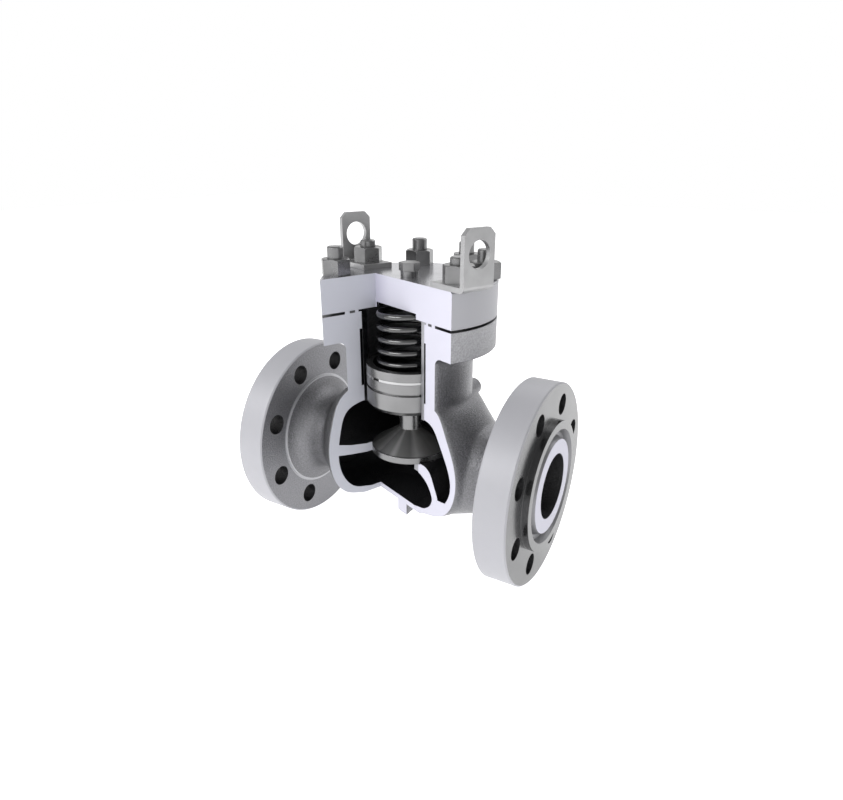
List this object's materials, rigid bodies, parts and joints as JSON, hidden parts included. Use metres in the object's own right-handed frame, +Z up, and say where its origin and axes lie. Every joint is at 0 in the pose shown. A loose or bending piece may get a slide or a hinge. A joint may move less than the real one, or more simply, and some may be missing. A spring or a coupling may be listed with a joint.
{
  "type": "piston lift check valve",
  "caption": "Cutaway flanged piston lift check valve: globe body with ring-joint end flanges, spring-loaded piston and disc over a round seat, bolted bonnet with lifting lugs.",
  "frame": {"origin": "centre of the inlet flange's raised face, on the pipe axis", "axes": "+X along the pipe from the inlet face to the outlet face, +Z up along the piston's axis"},
  "size_m": [0.384, 0.2412, 0.4106],
  "materials": {
    "cast_steel": "sand-cast, with machined flange faces and a clean saw cut",
    "machined_steel": "satin, turned",
    "bright_steel": "fine turned, semi-bright",
    "spring_steel": "black, semi-gloss",
    "gasket_graphite": "dark grey, matte",
    "fastener_steel": "dark, satin",
    "lug_steel": "plain rolled plate, satin"
  },
  "bodies": {
    "housing": {"valve_body": "cast_steel", "seat_ring": "bright_steel", "guide_liner": "bright_steel", "bonnet": "machined_steel", "bonnet_gasket": "gasket_graphite", "bonnet_stud_1": "fastener_steel", "bonnet_stud_2": "fastener_steel", "bonnet_stud_3": "fastener_steel", "bonnet_stud_4": "fastener_steel", "bonnet_stud_5": "fastener_steel", "bonnet_stud_6": "fastener_steel", "bonnet_nut_1": "fastener_steel", "bonnet_nut_2": "fastener_steel", "bonnet_nut_3": "fastener_steel", "bonnet_nut_4": "fastener_steel", "bonnet_nut_5": "fastener_steel", "bonnet_nut_6": "fastener_steel", "inlet_lifting_lug": "lug_steel", "outlet_lifting_lug": "lug_steel", "vent_plug": "fastener_steel", "return_spring": "spring_steel"},
    "piston": {"piston_disc": "bright_steel", "piston_ring": "bright_steel"}
  },
  "joints": [
    {"name": "piston_lift", "type": "slide", "parent": "housing", "child": "piston", "axis": [0, 0, 1], "range_m": [0, 0.04], "stiffness_N_per_m": 7700, "springref_m": -0.01, "deforming": ["return_spring"]}
  ]
}
